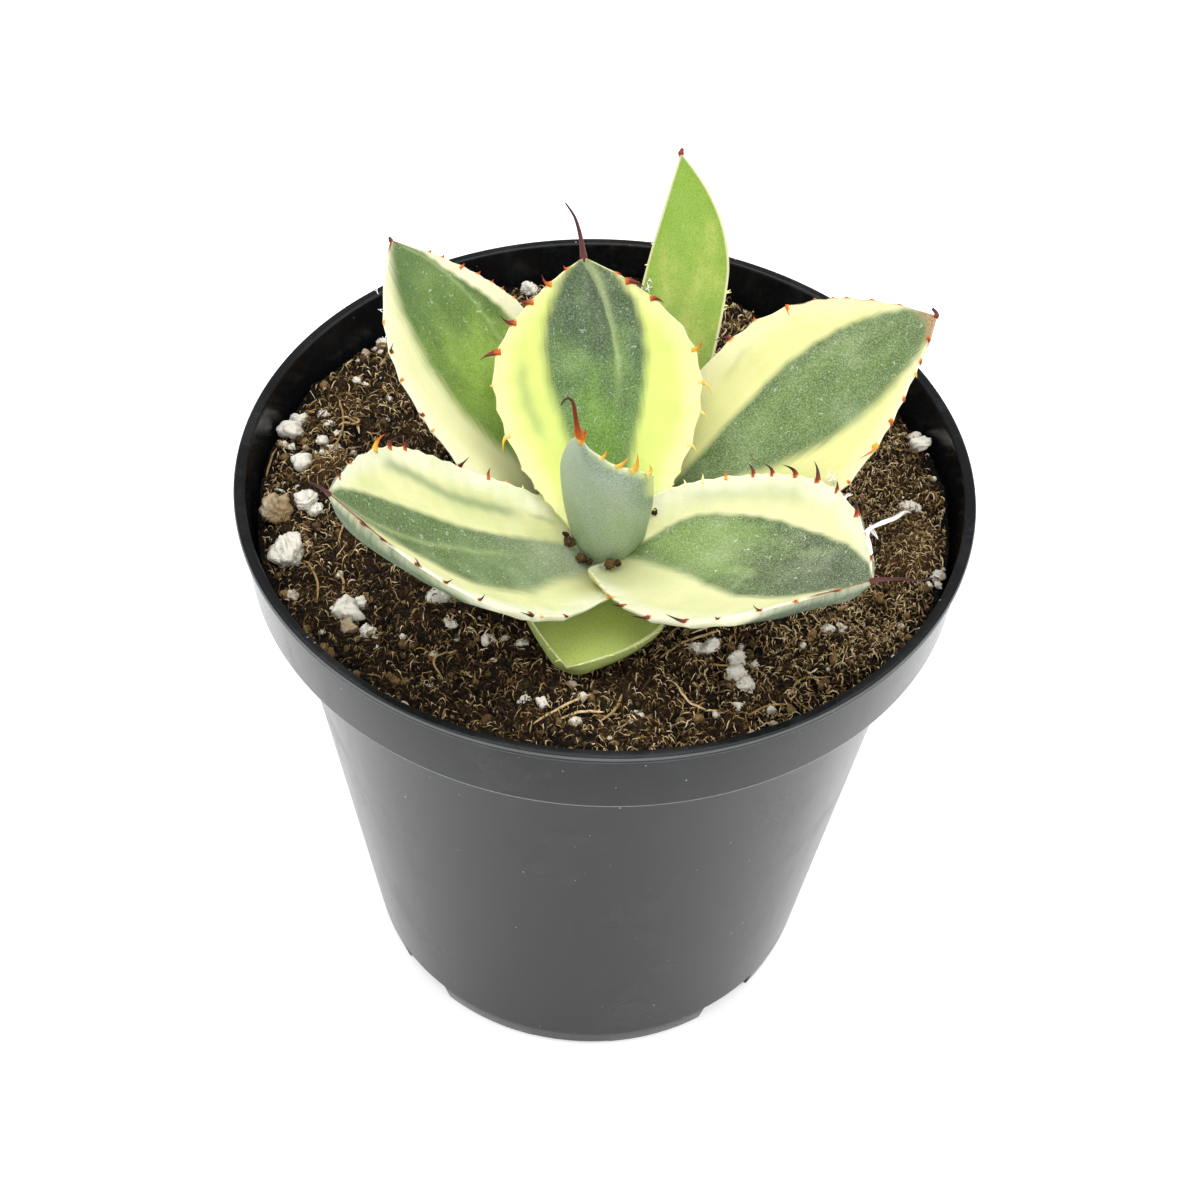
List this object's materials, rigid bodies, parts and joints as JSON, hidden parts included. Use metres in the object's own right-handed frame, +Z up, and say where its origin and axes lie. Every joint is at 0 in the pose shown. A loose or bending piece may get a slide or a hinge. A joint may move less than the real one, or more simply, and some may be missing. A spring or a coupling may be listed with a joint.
{
  "type": "potted agave",
  "caption": "Young variegated agave rosette with toothed, spine-tipped leaves, in soil with perlite in a round plastic nursery pot.",
  "frame": {"origin": "middle of the pot's foot, on the surface that the pot stands on", "axes": "+Z up along the pot's axis; -Y is the side that the picture looks at; +X is to the right in the picture"},
  "size_m": [0.108, 0.108, 0.1301],
  "materials": {
    "pot_plastic": "satin",
    "soil": "matte",
    "stem": "matte",
    "bud_leaf": "satin",
    "variegated_leaf": "satin",
    "plain_leaf": "satin"
  },
  "bodies": {
    "root": {"pot": "pot_plastic", "soil": "soil", "crown": "stem", "bud_leaf": "bud_leaf", "leaf_back_middle": "variegated_leaf", "leaf_front_right": "variegated_leaf", "leaf_front_left": "variegated_leaf", "leaf_back_right": "variegated_leaf", "leaf_back_left": "variegated_leaf", "leaf_plain_back": "plain_leaf", "leaf_plain_front": "plain_leaf"}
  },
  "joints": []
}
